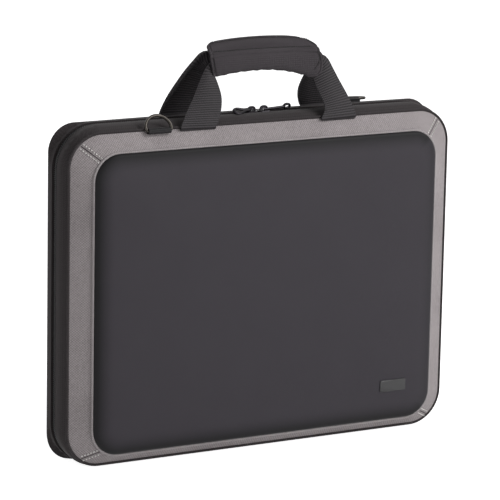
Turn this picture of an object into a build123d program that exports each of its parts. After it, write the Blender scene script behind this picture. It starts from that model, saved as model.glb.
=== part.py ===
"""Zipped hard case for a laptop, with twin webbing handles and a padded grip wrap.

Millimetres. X runs across the case, Y from front to back, Z up. The origin is on the
floor, in the middle of the case's width, in the plane of the zip, about which the front
half opens as a lid.
"""

from build123d import *
from math import cos, hypot, radians, sin
import os

# ---------------------------------------------------------------- driving dimensions

# Piped front seam, where the grey border meets the black side
seam_width = 424.0
seam_height = 324.6
seam_base = 4.0
seam_radius = 33.0
seam_depth = 25.0

# Soft side between the seams: it bulges past the seam and is pressed flat on the floor
side_bulge = 4.5
top_bulge = 7.0
floor_press_depth = 1.6
side_wall = 2.5
zip_radius = 43.0
zip_flat = 10.0
groove_half = 5.0
bulge_steps = 4

# Front panel, border and piping
panel_side_inset = 19.9
panel_top_inset = 17.2
panel_bottom_inset = 10.1
panel_radius = 27.0
bevel_depth = 12.3
panel_rise = 6.0
panel_crown = 2.0
panel_wall = 3.0
panel_edge_radius = 4.8
panel_edge_steps = 5
panel_crown_steps = 4
panel_flat_height = 27.7
border_rim = 2.4
piping_radius = 1.3
piping_sides = 8
piping_stand_off = 1.5
flange_wall = 1.2

# Rear shell
rear_seam_depth = 14.0
rear_depth = 35.0
rear_inset = 0.4
rear_radius = 27.0
rear_edge_radius = 19.0
rear_wall = 3.0

# Zip, and the cloth hinge under the case
tape_wall = 0.9
coil_width = 1.8
coil_height = 1.5
coil_gap = 0.6
hinge_length = 340.0
hinge_wall = 1.2
hinge_gap = 0.15

# Linings, lid pocket and laptop bed
lining_wall = 1.5
lining_edge = 5.0
lining_relief = 1.6
pocket_width = 320.0
pocket_height = 170.0
pocket_depth = 8.0
pocket_wall = 1.0
pocket_base = 60.0
corner_pad_side = 14.6
corner_pad_end = 25.2
corner_pad_arm = 62.0
corner_pad_edge = 6.0
bed_strap_width = 38.0
bed_strap_end = 20.0
bed_strap_pitch = 180.0
bed_strap_wall = 1.5

# Bare label
label_width = 30.0
label_height = 12.0
label_wall = 0.8
label_radius = 1.0
label_side_gap = 47.1
label_base_gap = 37.2

# Handles: webbing 38 wide, sewn in at each foot and folded in three inside the grip
top_offset = 3.5
webbing_width = 38.0
webbing_wall = 2.0
foot_spread = 158.2
foot_clearance = 0.3
foot_rise = 1.0
folded_wall = 4.5
handle_gap = 3.5
rear_fold_lift = 4.0

# Grip wrap: open at the back, with a hook-and-loop flap hinged on its front crease
wrap_length = 127.0
wrap_shift = 8.0
wrap_front = 15.5
grip_rise = 42.4
wrap_arch = 7.5
wrap_wall = 3.0
wrap_bottom_wall = 2.5
wrap_lip = 16.5
wrap_height = 27.3
wrap_corner = 9.0
wrap_entry = 4.0
mouth_gap = 2.2
flap_run = 16.0
flap_rise = 12.7
flap_wall = 2.4
flap_gap = 0.35
flap_left_corner = 6.0
flap_right_corner = 16.0
hook_wall = 0.6
hook_gap = 0.1
hook_margin = 10.0
lip_wall = 1.2

# Shoulder-strap rings in their webbing tabs
ring_width = 31.0
ring_height = 20.0
ring_wire = 3.2
ring_sides = 12
ring_corner = 1.7
ring_spread = 239.6
ring_clearance = 0.3
tab_width = 24.0
tab_wall = 1.0
tab_seat = 0.1
tab_slide_length = 1.6
tab_set_back_angle = 8.0
left_ring_lean = 20.0
right_ring_lean = 100.0

# Sliders and their pulls
zip_meet = 5.8
slider_pitch = 14.0
slider_length = 12.0
slider_width = 8.5
slider_plate = 1.5
slider_clearance = 0.35
slider_post_wall = 0.5
slider_post_length = 3.0
crown_length = 4.6
crown_width = 1.4
crown_wall = 1.0
crown_height = 3.0
pull_length = 30.0
pull_width = 5.0
pull_neck = 3.2
pull_shoulder = 7.0
pull_wall = 1.5
pull_bar = 1.0
pull_lift = 0.3
pull_eye_width = 3.0
pull_eye_length = 4.0
pull_tip_radius = 2.8
pull_hole = 1.5
left_pull_yaw = 18.0

# How far a cutting tool runs past what it cuts
cut_margin = 1.0

# ---------------------------------------------------------------- derived places

zip_width = seam_width + 2 * side_bulge
seam_top = seam_base + seam_height
zip_top = seam_top + top_bulge
seam_front = seam_depth + flange_wall / 2
seam_back = seam_depth - flange_wall / 2
panel_depth = seam_depth + bevel_depth
panel_width = seam_width - 2 * panel_side_inset
panel_top = seam_top - panel_top_inset
panel_base = seam_base + panel_bottom_inset
panel_crown_run = (panel_top - panel_base - panel_flat_height) / 2 - panel_edge_radius
lining_inset = side_wall + tape_wall
lid_floor = panel_depth - lining_relief
bed_depth = rear_depth - rear_wall
grip_middle = top_offset + wrap_shift
wrap_low = seam_top + grip_rise
wrap_crease = wrap_low + wrap_height
bed_inset = lining_inset + lining_wall
laptop_width = zip_width - 2 * (bed_inset + corner_pad_side)
laptop_height = zip_top - rear_inset - 2 * (bed_inset + corner_pad_end)
label_x = panel_width / 2 - label_side_gap
label_z = panel_base + label_base_gap


# ---------------------------------------------------------------- outlines and forms


def outline(depth, width, base, top, radius, inset=0.0):
    """Rounded rectangle in the plane `depth` in front of the zip, taken in by `inset`."""
    with BuildSketch(Plane.XZ.offset(depth)) as sketch:
        with Locations((0, (base + top) / 2)):
            corner = max(radius - inset, cut_margin)
            RectangleRounded(width - 2 * inset, top - base - 2 * inset, corner)
    return sketch.sketch


def side_outline(depth, run, inset):
    """Outline of the soft side, `run` of the way (0 to 1) from the zip to the front seam."""
    share = run**2
    return outline(
        depth,
        zip_width - 2 * side_bulge * share,
        (seam_base + floor_press_depth) * share - floor_press_depth,
        zip_top - top_bulge * share,
        zip_radius + (seam_radius - zip_radius) * run,
        inset,
    )


def bevel_outline(level, inset, depth=None):
    """Outline of the bevelled front at a level between the seam and the panel's rim."""
    run = (level - seam_front) / (panel_depth - seam_front)
    return outline(
        depth or level,
        seam_width - 2 * panel_side_inset * run,
        seam_base + panel_bottom_inset * run,
        seam_top - panel_top_inset * run,
        seam_radius + (panel_radius - seam_radius) * run,
        inset,
    )


def panel_form(inset):
    """Solid form of the crowned front panel with its rounded edge, taken in all round."""
    radius = panel_edge_radius - inset
    shoulder = panel_depth + panel_rise - panel_edge_radius
    rings = [(0, panel_depth), (0, shoulder)]
    for k in range(1, panel_edge_steps + 1):
        turn = radians(90 * k / panel_edge_steps)
        rings.append((radius * (1 - cos(turn)), shoulder + radius * sin(turn)))
    for k in range(1, panel_crown_steps + 1):
        share = k / panel_crown_steps
        rise = panel_crown * (1 - (1 - share) ** 2)
        rings.append((radius + panel_crown_run * share, shoulder + radius + rise))
    with BuildPart() as form:
        loft([bevel_outline(panel_depth, inset + run, depth) for run, depth in rings], ruled=True)
    return form.part


def soft_side(start, inset, steps):
    """Solid form inside the front half's soft side, from `start` to the seam."""
    flat = zip_flat - start
    curve = [k / steps for k in range(steps + 1)]
    reach = seam_back - zip_flat
    with BuildPart() as form:
        extrude(side_outline(start, 0, inset), amount=flat)
        loft([side_outline(zip_flat + reach * run, run, inset) for run in curve], ruled=True)
        split(bisect_by=Plane.XY.offset(inset), keep=Keep.TOP)
    return form.part


def rear_outline(depth, inset):
    """Outline of the moulded rear shell, whose corners are fuller than the zip's."""
    with BuildSketch(Plane.XZ.offset(-depth)) as sketch:
        with Locations((0, (zip_top - rear_inset) / 2)):
            RectangleRounded(
                zip_width - 2 * (rear_inset + inset),
                zip_top - rear_inset - 2 * inset,
                rear_radius - inset,
            )
    return sketch.sketch


def rear_form(start, inset):
    """Solid form inside the rear shell, from `start` back, its rear edge rounded."""
    with BuildPart() as form:
        extrude(rear_outline(start, inset), amount=-(rear_depth - inset - start))
        back = form.faces().sort_by(Axis.Y)[-1]
        fillet(back.edges(), radius=rear_edge_radius - inset)
    return form.part


def zip_ring(low, high, inset, thickness):
    """Band along the zip, cut away over the cloth hinge under the case."""
    with BuildPart() as band:
        extrude(side_outline(-low, 0, inset), amount=-(high - low))
        extrude(side_outline(-low, 0, inset + thickness), amount=-(high - low), mode=Mode.SUBTRACT)
        split(bisect_by=Plane.XY.offset(inset), keep=Keep.TOP)
        with BuildSketch(Plane.XY) as gap:
            Rectangle(hinge_length, 2 * (zip_flat + cut_margin))
        extrude(amount=zip_radius, mode=Mode.SUBTRACT)
    return band.part


def finish(part, name):
    """Name a finished piece and write it out."""
    part.label = name
    export_step(part, f"parts/{name}.step")


os.makedirs("parts", exist_ok=True)

# ---------------------------------------------------------------- front half (the lid)

# Moulded front panel: a crowned dish with a rounded edge, open at the back
with BuildPart() as front_panel:
    add(panel_form(0))
    add(panel_form(panel_wall), mode=Mode.SUBTRACT)
finish(front_panel.part, "front_panel")

# Sewn webbing ends: each handle foot and each ring tab enters its seam as a tongue
feet = [top_offset + side * foot_spread / 2 for side in (-1, 1)]
front_pivot = Vector(0, -seam_front - webbing_wall * 1.5 - foot_clearance, seam_top + foot_rise)
left_ring_x = top_offset - ring_spread / 2
right_ring_x = top_offset + ring_spread / 2


def tongues(places, width, near, low, top):
    """Flat webbing ends standing in a seam, one webbing's wall deep from `near` back."""
    with BuildPart() as ends:
        with BuildSketch(Plane.XY.offset(low)):
            with Locations(*[(x, near + webbing_wall / 2) for x in places]):
                Rectangle(width, webbing_wall)
        extrude(amount=top - low)
    return ends.part


front_tongue_y = -seam_front - webbing_wall
front_anchors = tongues(
    feet, webbing_width, front_tongue_y, seam_top - border_rim, seam_top
)
finish(front_anchors, "front_handle_anchors")

sleeve_radius = ring_wire / 2 + ring_clearance + tab_wall


def ring_tab(tongue, axis, neck):
    """Webbing tab: a tongue in the seam and a sleeve sewn round the ring's bar."""
    centre = Vector(axis.Y, axis.Z)
    run = (centre - neck).normalized()
    side = Vector(-run.Y, run.X)
    with BuildPart() as tab:
        add(tongue)
        with BuildSketch(Plane.YZ.offset(axis.X - tab_width / 2)):
            with Locations(centre):
                Circle(sleeve_radius)
            Polygon(neck - side * tab_wall, neck + side * tab_wall,
                    centre + side * sleeve_radius, centre - side * sleeve_radius, align=None)
        extrude(amount=tab_width)
        with Locations(Location(axis, (0, 90, 0))):
            Cylinder(ring_wire / 2 + ring_clearance, tab_width * 2, mode=Mode.SUBTRACT)
    return tab.part


# The left ring's tab leaves the front seam and its sleeve rests on the bevel
bevel_length = hypot(bevel_depth - flange_wall / 2, panel_top_inset)
out_y, out_z = -panel_top_inset / bevel_length, (bevel_depth - flange_wall / 2) / bevel_length
seat = sleeve_radius + tab_seat
left_axis = Vector(
    left_ring_x,
    -seam_front + out_y * seat - out_z * tab_slide_length,
    seam_top + out_z * seat + out_y * tab_slide_length,
)
left_tongue = tongues(
    [left_ring_x], tab_width, front_tongue_y, seam_top - border_rim, seam_top
)
left_neck = Vector(front_tongue_y + tab_wall, seam_top - tab_wall)
left_tab = ring_tab(left_tongue, left_axis, left_neck)
finish(left_tab, "dring_tab_left")

# Grey border: four strips with mitred corners, bevelled from the seam up to the panel
with BuildPart() as border:
    loft([bevel_outline(seam_front, 0), bevel_outline(panel_depth, 0)], ruled=True)
    loft(
        [bevel_outline(seam_front, border_rim), bevel_outline(panel_depth, border_rim)],
        ruled=True,
        mode=Mode.SUBTRACT,
    )
    add(front_anchors, mode=Mode.SUBTRACT)
    add(left_tab, mode=Mode.SUBTRACT)

# The mitres run from each seam corner to the panel corner beside it
mitre_run = 2.5
middle = seam_height / 2


def mitre(rise, side):
    """End points of one mitre, drawn out past both corners; `side` is 1 up, -1 down."""
    far = (seam_width / 2 + panel_side_inset, side * (middle + rise))
    near = (seam_width / 2 - mitre_run * panel_side_inset, side * (middle - mitre_run * rise))
    return far, near


far_top, near_top = mitre(panel_top_inset, 1)
far_base, near_base = mitre(panel_bottom_inset, -1)
with BuildPart() as right_wedge:
    with BuildSketch(Plane.XZ.offset(seam_depth)):
        with Locations((0, seam_base + middle)):
            Polygon(far_top, near_top, near_base, far_base, align=None)
    extrude(amount=bevel_depth + cut_margin)
left_wedge = mirror(right_wedge.part, about=Plane.YZ)

with BuildPart() as border_right:
    add(border.part)
    add(right_wedge.part, mode=Mode.INTERSECT)
with BuildPart() as border_left:
    add(border.part)
    add(left_wedge, mode=Mode.INTERSECT)
with BuildPart() as border_rest:
    add(border.part)
    add(right_wedge.part, mode=Mode.SUBTRACT)
    add(left_wedge, mode=Mode.SUBTRACT)
with BuildPart() as border_top:
    add(border_rest.part.solids().sort_by(Axis.Z)[-1])
with BuildPart() as border_bottom:
    add(border_rest.part.solids().sort_by(Axis.Z)[0])
finish(border_right.part, "border_right")
finish(border_left.part, "border_left")
finish(border_top.part, "border_top")
finish(border_bottom.part, "border_bottom")

# Piping: a bead round the seam, on a flange sewn between the border and the soft side
bead_path = outline(seam_depth, seam_width, seam_base, seam_top, seam_radius, -piping_stand_off)
with BuildPart() as front_piping:
    extrude(outline(seam_back, seam_width, seam_base, seam_top, seam_radius, -piping_stand_off),
            amount=flange_wall)
    extrude(outline(seam_back, seam_width, seam_base, seam_top, seam_radius, border_rim),
            amount=flange_wall, mode=Mode.SUBTRACT)
    corner = bead_path.edges().sort_by(Axis.Z)[-1]
    with BuildSketch(Plane(corner @ 0, z_dir=corner % 0)):
        RegularPolygon(piping_radius, piping_sides)
    sweep(path=bead_path.wire())
    add(left_tab, mode=Mode.SUBTRACT)
finish(front_piping.part, "front_piping")

# Soft side of the lid, with a lining tray of the same form inside it
with BuildPart() as front_gusset:
    add(soft_side(groove_half, 0, bulge_steps))
    add(soft_side(groove_half, side_wall, bulge_steps), mode=Mode.SUBTRACT)
finish(front_gusset.part, "front_gusset")


def lid_cavity(inset, floor):
    """Solid form inside the lid, down to the given depth of floor."""
    with BuildPart() as form:
        add(soft_side(lining_edge, inset, 1))
        extrude(outline(seam_back, seam_width, seam_base, seam_top, seam_radius, inset),
                amount=flange_wall)
        loft([bevel_outline(seam_front, inset), bevel_outline(floor, inset)], ruled=True)
    return form.part


with BuildPart() as front_lining:
    add(lid_cavity(lining_inset, lid_floor))
    add(lid_cavity(lining_inset + lining_wall, lid_floor - lining_wall), mode=Mode.SUBTRACT)
finish(front_lining.part, "front_lining")

# Slip pocket sewn on the lid's lining, open at its top
pocket_face = lid_floor - lining_wall
with BuildPart() as lid_pocket:
    with BuildSketch(Plane.XZ.offset(pocket_face - pocket_depth)):
        with Locations((0, pocket_base + pocket_height / 2)):
            Rectangle(pocket_width, pocket_height)
    extrude(amount=pocket_depth)
    with BuildSketch(Plane.XZ.offset(pocket_face - pocket_depth + pocket_wall)):
        with Locations((0, pocket_base + pocket_wall + pocket_height / 2)):
            Rectangle(pocket_width - 2 * pocket_wall, pocket_height)
    extrude(amount=pocket_depth, mode=Mode.SUBTRACT)
finish(lid_pocket.part, "lid_pocket")

# Bare label, following the crown of the panel
with BuildPart() as label_patch:
    with BuildSketch(Plane.XZ.offset(panel_depth)):
        with Locations((label_x, label_z)):
            RectangleRounded(label_width, label_height, label_radius)
    extrude(amount=panel_rise + panel_crown + 2 * label_wall)
    add(panel_form(-label_wall), mode=Mode.INTERSECT)
    add(panel_form(0), mode=Mode.SUBTRACT)
finish(label_patch.part, "label_patch")

# ---------------------------------------------------------------- zip and cloth hinge

# Tapes lie under the edges of the soft sides, the coils on them, at the zip's middle
for name, low, high, inset, thickness in (
    ("front_zip_tape", -zip_flat, -coil_gap, side_wall, tape_wall),
    ("rear_zip_tape", coil_gap, zip_flat, side_wall, tape_wall),
    ("front_zip_coil", -coil_gap - coil_width, -coil_gap, side_wall - coil_height, coil_height),
    ("rear_zip_coil", coil_gap, coil_gap + coil_width, side_wall - coil_height, coil_height),
):
    finish(zip_ring(low, high, inset, thickness), name)

# The cloth hinge fills the groove under the case, in a leaf for each half
for name, near, far in (
    ("hinge_strip_front", -groove_half, -hinge_gap),
    ("hinge_strip_rear", hinge_gap, groove_half),
):
    with BuildPart() as leaf:
        with BuildSketch(Plane.XY):
            with Locations((0, (near + far) / 2)):
                Rectangle(hinge_length, far - near)
        extrude(amount=hinge_wall)
    finish(leaf.part, name)

# ---------------------------------------------------------------- rear half


def rear_side(inset):
    """Solid form inside the rear soft side, from the zip's corners to the shell's fuller ones."""
    with BuildPart() as form:
        extrude(side_outline(-groove_half, 0, inset), amount=groove_half - zip_flat)
        loft([side_outline(-zip_flat, 0, inset), rear_outline(rear_seam_depth, inset)])
        split(bisect_by=Plane.XY.offset(inset), keep=Keep.TOP)
    return form.part


with BuildPart() as rear_gusset:
    add(rear_side(0))
    add(rear_side(side_wall), mode=Mode.SUBTRACT)
finish(rear_gusset.part, "rear_gusset")

# Sewn ends of the rear webbing and of the right ring's tab, in the seam before the shell
rear_top = zip_top - rear_inset
rear_pivot = Vector(
    0,
    rear_seam_depth + webbing_wall * 1.5 + foot_clearance,
    rear_top + webbing_wall / 2 + foot_clearance,
)
rear_anchors = tongues(
    feet, webbing_width, rear_seam_depth, rear_top - rear_wall, rear_pivot.Z
)
finish(rear_anchors, "rear_handle_anchors")

edge_reach = rear_edge_radius + sleeve_radius + tab_seat
right_axis = Vector(
    right_ring_x,
    rear_depth - rear_edge_radius + edge_reach * sin(radians(tab_set_back_angle)),
    rear_top - rear_edge_radius + edge_reach * cos(radians(tab_set_back_angle)),
)
right_tongue = tongues(
    [right_ring_x], tab_width, rear_seam_depth, rear_top - rear_wall, right_axis.Z + tab_wall
)

# Moulded rear shell with a rounded back edge
with BuildPart() as rear_shell:
    add(rear_form(rear_seam_depth, 0))
    add(rear_form(rear_seam_depth, rear_wall), mode=Mode.SUBTRACT)
    add(rear_anchors, mode=Mode.SUBTRACT)
    add(right_tongue, mode=Mode.SUBTRACT)
finish(rear_shell.part, "rear_shell")


def bed_form(inset, back):
    """Solid form inside the rear lining, its far edge cut back like the shell's."""
    with BuildPart() as form:
        extrude(
            outline(-lining_edge, zip_width, 0, zip_top - rear_inset, zip_radius, inset),
            amount=lining_edge - back,
        )
        far = form.faces().sort_by(Axis.Y)[-1]
        chamfer(far.edges(), length=rear_edge_radius - (rear_depth - bed_depth))
    return form.part


bed_back = bed_depth - lining_wall
with BuildPart() as rear_lining:
    add(bed_form(lining_inset, bed_depth))
    add(bed_form(bed_inset, bed_back), mode=Mode.SUBTRACT)
finish(rear_lining.part, "rear_lining")

# Foam corner pads that hold the laptop off the walls
bed_middle = (zip_top - rear_inset) / 2
with BuildPart() as corner_pads:
    add(bed_form(bed_inset, bed_back))
    with BuildSketch(Plane.XZ.offset(-corner_pad_edge)):
        Rectangle(2 * zip_width, 3 * zip_top)
    extrude(amount=zip_width, mode=Mode.SUBTRACT)
    with BuildSketch(Plane.XZ.offset(-rear_depth)):
        with Locations((0, bed_middle)):
            Rectangle(laptop_width, laptop_height)
            Rectangle(laptop_width - 2 * corner_pad_arm, 3 * zip_top)
            Rectangle(2 * zip_width, laptop_height - 2 * corner_pad_arm)
    extrude(amount=rear_depth, mode=Mode.SUBTRACT)
finish(corner_pads.part, "laptop_corner_pads")

# Hold-down straps, undone and lying on the bed, each with a raised hook-and-loop end
with BuildPart() as bed_straps:
    with BuildSketch(Plane.XZ.offset(-bed_back)):
        with Locations((-bed_strap_pitch / 2, bed_middle), (bed_strap_pitch / 2, bed_middle)):
            Rectangle(bed_strap_width, laptop_height - 2 * bed_strap_end)
    extrude(amount=bed_strap_wall)
finish(bed_straps.part, "laptop_straps")

# ---------------------------------------------------------------- handles


# Between foot and grip a leg passes two more places: height share, shift towards the
# grip's middle, turn from level, share of the webbing's width, share of its thickness
leg_shapes = {
    ("front", -1): ((0.35, 11.0, 69, 0.82, 1.0), (0.64, 15.6, 72, 0.63, 1.4)),
    ("front", 1): ((0.35, 0.0, 78, 0.86, 1.0), (0.64, 6.0, 70, 0.63, 1.4)),
    ("rear", -1): ((0.38, 3.0, 70, 0.87, 1.0), (0.72, 10.5, 52, 0.63, 1.4)),
    ("rear", 1): ((0.35, 8.5, 88, 0.87, 1.0), (0.59, 6.0, 82, 0.63, 1.4)),
}
mouth_turn = 20
run_shares = (-0.6, 0, 0.6)


def leg_sections(name, side, foot, mouth):
    """Sections of one leg from foot to grip: place, turn, lean, width and thickness."""
    span = mouth - foot
    lean = span.Y / span.Z
    sections = [(foot, 90, lean, webbing_width, webbing_wall)]
    for up, shift, turn, width, wall in leg_shapes[name, side]:
        place = foot + Vector(-side * shift, span.Y * up, span.Z * up)
        sections.append((place, turn, lean * (1 - up), width * webbing_width, wall * webbing_wall))
    sections.append((mouth, mouth_turn, 0, folded_width, folded_wall))
    return [(place, -side * turn, *rest) for place, turn, *rest in sections]


def webbing(name, foot_y, foot_z, run_y, run_z):
    """A whole handle in one: a leg, the folded run inside the grip and the other leg."""
    half = wrap_length / 2 + mouth_gap
    low = Vector(grip_middle, run_y, run_z - wrap_entry)
    left, right = [
        leg_sections(name, side, Vector(foot_x, foot_y, foot_z), low + Vector(side * half, 0, 0))
        for side, foot_x in zip((-1, 1), feet)
    ]
    run = [(low + Vector(half * share, 0, wrap_entry * (1 - share**2)), 0, 0,
            folded_width, folded_wall) for share in run_shares]
    with BuildPart() as strap:
        for place, turn, lean, width, wall in left + run + right[::-1]:
            angle = radians(turn)
            across = Vector(sin(angle), 0, -cos(angle))
            travel = Vector(cos(angle), lean * sin(angle), sin(angle))
            with BuildSketch(Plane(place, x_dir=across, z_dir=travel)):
                Rectangle(width, wall)
        loft(ruled=True)
    return strap.part


folded_width = webbing_width / 3
cavity_front = -wrap_front + wrap_wall
cavity_low = wrap_low + wrap_arch + wrap_bottom_wall
front_run_y = cavity_front + folded_wall / 2 + foot_clearance
rear_run_y = front_run_y + folded_wall + handle_gap
front_run_z = cavity_low + folded_width / 2 + foot_clearance
rear_run_z = cavity_low + folded_width / 2 + rear_fold_lift

front_webbing = webbing("front", front_pivot.Y, front_pivot.Z, front_run_y, front_run_z)
finish(front_webbing, "front_webbing")
rear_webbing = webbing("rear", rear_pivot.Y, rear_pivot.Z, rear_run_y, rear_run_z)
finish(rear_webbing, "rear_webbing")

# Grip section: u runs up the slanted flap from the crease, n points out of it
flap_length = hypot(flap_run, flap_rise)
u = Vector(0, flap_run, flap_rise) / flap_length
n = Vector(0, -flap_rise, flap_run) / flap_length
crease = Vector(grip_middle, -wrap_front, wrap_crease)


def on_flap(along, depth):
    """Point of the grip's section, `along` the flap from the crease and `depth` under it."""
    point = crease + u * along - n * depth
    return point.Y, point.Z


hook_face = flap_wall + hook_wall
loop_face = hook_face + hook_gap
lip_depth = loop_face + hook_wall
inner_depth = lip_depth + lip_wall
lip_end = flap_length - 1.0
wrap_tip = -wrap_front + wrap_lip


def arch(low):
    """Block under the grip, its top arched lengthwise from `low` at the grip's ends."""
    half = wrap_length / 2
    with BuildPart() as block:
        with BuildSketch(Plane((grip_middle, 0, low)).rotated((90, 0, 0))):
            with BuildLine():
                ThreePointArc((-half, 0), (0, wrap_arch), (half, 0))
                Polyline((half, 0), (2 * half, 0), (2 * half, -half), (-2 * half, -half),
                         (-2 * half, 0), (-half, 0))
            make_face()
        extrude(amount=4 * wrap_front, both=True)
    return block.part


grip_side = Plane.YZ.offset(grip_middle - wrap_length / 2)
with BuildPart() as grip_wrap:
    with BuildSketch(grip_side):
        Polygon(
            (-wrap_front, wrap_low),
            (-wrap_front, wrap_crease - flap_gap),
            on_flap(-flap_gap, lip_depth),
            on_flap(lip_end, lip_depth),
            on_flap(lip_end, inner_depth),
            (wrap_tip, wrap_low),
            align=None,
        )
    extrude(amount=wrap_length)
    add(arch(wrap_low), mode=Mode.SUBTRACT)
    ends = grip_wrap.edges().filter_by(Axis.Y).sort_by(Axis.Z)[:2]
    fillet(ends, radius=wrap_corner)
    with BuildPart(mode=Mode.PRIVATE) as cavity:
        with BuildSketch(grip_side.offset(-cut_margin)):
            Polygon(
                (cavity_front, wrap_low),
                (cavity_front, on_flap(0, inner_depth)[1]),
                on_flap(0.1, inner_depth),
                on_flap(flap_length * 2, inner_depth),
                (wrap_front * 2, wrap_low),
                align=None,
            )
        extrude(amount=wrap_length + 2 * cut_margin)
        add(arch(wrap_low + wrap_bottom_wall), mode=Mode.SUBTRACT)
    add(cavity.part, mode=Mode.SUBTRACT)
finish(grip_wrap.part, "grip_wrap")

# Padded flap, hinged on the crease, with hook tape under it and loop tape on the wrap's lip
def flap_layer(low, high, start, end, margin):
    """Flat layer of the flap, from depth `low` to `high` under its face."""
    corners = [on_flap(*p) for p in ((start, low), (end, low), (end, high), (start, high))]
    with BuildPart() as layer:
        with BuildSketch(grip_side.offset(margin)):
            Polygon(*corners, align=None)
        extrude(amount=wrap_length - 2 * margin)
    return layer


flap = flap_layer(0, flap_wall, 0, flap_length, 0)
with flap:
    across_flap = flap.edges().filter_by(lambda e: e.length < 2 * flap_wall)
    tip_left, tip_right = across_flap.sort_by(Axis.Y)[-2:].sort_by(Axis.X)
    fillet(tip_left, radius=flap_left_corner)
    fillet(tip_right, radius=flap_right_corner)
finish(flap.part, "grip_flap")
hook = flap_layer(flap_wall, hook_face, flap_gap * 10, lip_end, hook_margin)
finish(hook.part, "grip_hook_strip")
loop = flap_layer(loop_face, lip_depth, flap_gap * 10, lip_end, hook_margin)
finish(loop.part, "grip_loop_strip")

# ---------------------------------------------------------------- shoulder-strap rings

def ring(axis, lean):
    """D-ring of round wire, its straight bar on `axis`, leaning back from upright."""
    tilt = radians(lean)
    span = ring_width - ring_wire
    rise = ring_height - ring_wire
    face = Plane(axis, x_dir=(1, 0, 0), z_dir=(0, -cos(tilt), sin(tilt)))
    with BuildSketch(face) as loop_face_sketch:
        with BuildLine():
            Polyline((-span / 2, rise / 3), (-span / 2, 0), (span / 2, 0), (span / 2, rise / 3))
            ThreePointArc((span / 2, rise / 3), (0, rise), (-span / 2, rise / 3))
        make_face()
        fillet(loop_face_sketch.vertices(), radius=ring_corner)
    path = loop_face_sketch.sketch.faces()[0].outer_wire()
    with BuildPart() as wire:
        with BuildSketch(Plane(path @ 0, z_dir=path % 0)):
            RegularPolygon(ring_wire / 2, ring_sides)
        sweep(path=path)
    return wire.part


right_neck = Vector(rear_seam_depth + tab_wall, rear_top + tab_wall + tab_seat)
finish(ring_tab(right_tongue, right_axis, right_neck), "dring_tab_right")
finish(ring(left_axis, left_ring_lean), "dring_left")
finish(ring(right_axis, right_ring_lean), "dring_right")

# ---------------------------------------------------------------- sliders and pulls

coil_top = zip_top - side_wall + coil_height
tape_base = zip_top - side_wall - tape_wall
plate_low = coil_top + slider_clearance
plate_top = plate_low + slider_plate
pull_z = plate_top + pull_lift + pull_wall / 2


def slider(centre_x):
    """Zip slider: plates over and under the coils, a post between them, a crown on top."""
    with BuildPart() as body:
        with Locations((centre_x, 0, plate_low + slider_plate / 2)):
            Box(slider_length, slider_width, slider_plate)
        with Locations((centre_x, 0, tape_base - slider_clearance - slider_plate / 2)):
            Box(slider_length, slider_width, slider_plate)
        fillet(body.edges().filter_by(Axis.Z), radius=slider_width / 4)
        with BuildSketch(Plane.XY.offset(tape_base - slider_clearance)):
            with Locations((centre_x, 0)):
                Rectangle(slider_post_length, slider_post_wall)
        extrude(until=Until.NEXT)
        with BuildSketch(Plane.XZ):
            with Locations((centre_x, plate_top + crown_height / 2)):
                Rectangle(crown_length, crown_height)
            with Locations((centre_x, plate_top + (crown_height - crown_wall) / 2)):
                Rectangle(
                    crown_length - 2 * crown_wall, crown_height - crown_wall, mode=Mode.SUBTRACT
                )
        extrude(amount=crown_width / 2, both=True)
        crown_top = body.faces().sort_by(Axis.Z)[-1]
        fillet(crown_top.edges().filter_by(Axis.Y), radius=crown_wall)
    return body.part


def pull(centre_x, heading):
    """Slim puller whose bar lies under the crown; `heading` turns it from +X."""
    with BuildPart() as body:
        with BuildSketch(Plane.XY.offset(-pull_wall / 2)):
            with Locations((pull_shoulder / 2, 0)):
                Rectangle(pull_shoulder, pull_width)
            with Locations((pull_length / 2, 0)):
                Rectangle(pull_length - 2 * pull_tip_radius, pull_neck)
            with Locations((pull_length - pull_tip_radius, 0)):
                Circle(pull_tip_radius)
                Circle(pull_hole, mode=Mode.SUBTRACT)
            with Locations((pull_eye_length / 2, 0)):
                Rectangle(pull_eye_length, pull_eye_width, mode=Mode.SUBTRACT)
        extrude(amount=pull_wall)
        with Locations(Location((0, 0, 0), (90, 0, 0))):
            Cylinder(pull_bar / 2, pull_width)
    return Location((centre_x, 0, pull_z), (0, 0, heading)) * body.part


for side, name, heading in ((-1, "left", 180 + left_pull_yaw), (1, "right", 0)):
    middle_x = zip_meet + side * slider_pitch / 2
    finish(slider(middle_x), f"slider_{name}")
    finish(pull(middle_x, heading), f"pull_{name}")
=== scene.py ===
"""A moulded laptop hard case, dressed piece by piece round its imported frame."""

import math

import bpy
from mathutils import Matrix, Vector


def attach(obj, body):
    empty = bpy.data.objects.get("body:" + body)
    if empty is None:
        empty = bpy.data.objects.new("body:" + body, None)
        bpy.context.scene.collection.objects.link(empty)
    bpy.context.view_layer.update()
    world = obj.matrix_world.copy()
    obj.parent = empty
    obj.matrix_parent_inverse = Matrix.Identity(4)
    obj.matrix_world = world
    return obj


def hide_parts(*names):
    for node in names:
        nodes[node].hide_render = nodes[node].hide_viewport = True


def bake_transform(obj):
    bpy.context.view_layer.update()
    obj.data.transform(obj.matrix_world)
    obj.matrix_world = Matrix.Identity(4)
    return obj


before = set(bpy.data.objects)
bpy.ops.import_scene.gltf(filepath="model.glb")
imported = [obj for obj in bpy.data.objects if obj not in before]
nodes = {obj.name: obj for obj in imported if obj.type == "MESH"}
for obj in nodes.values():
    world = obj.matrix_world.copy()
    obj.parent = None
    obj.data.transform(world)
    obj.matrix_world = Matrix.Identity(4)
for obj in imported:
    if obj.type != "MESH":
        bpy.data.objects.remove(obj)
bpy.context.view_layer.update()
MM = 0.001

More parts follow.
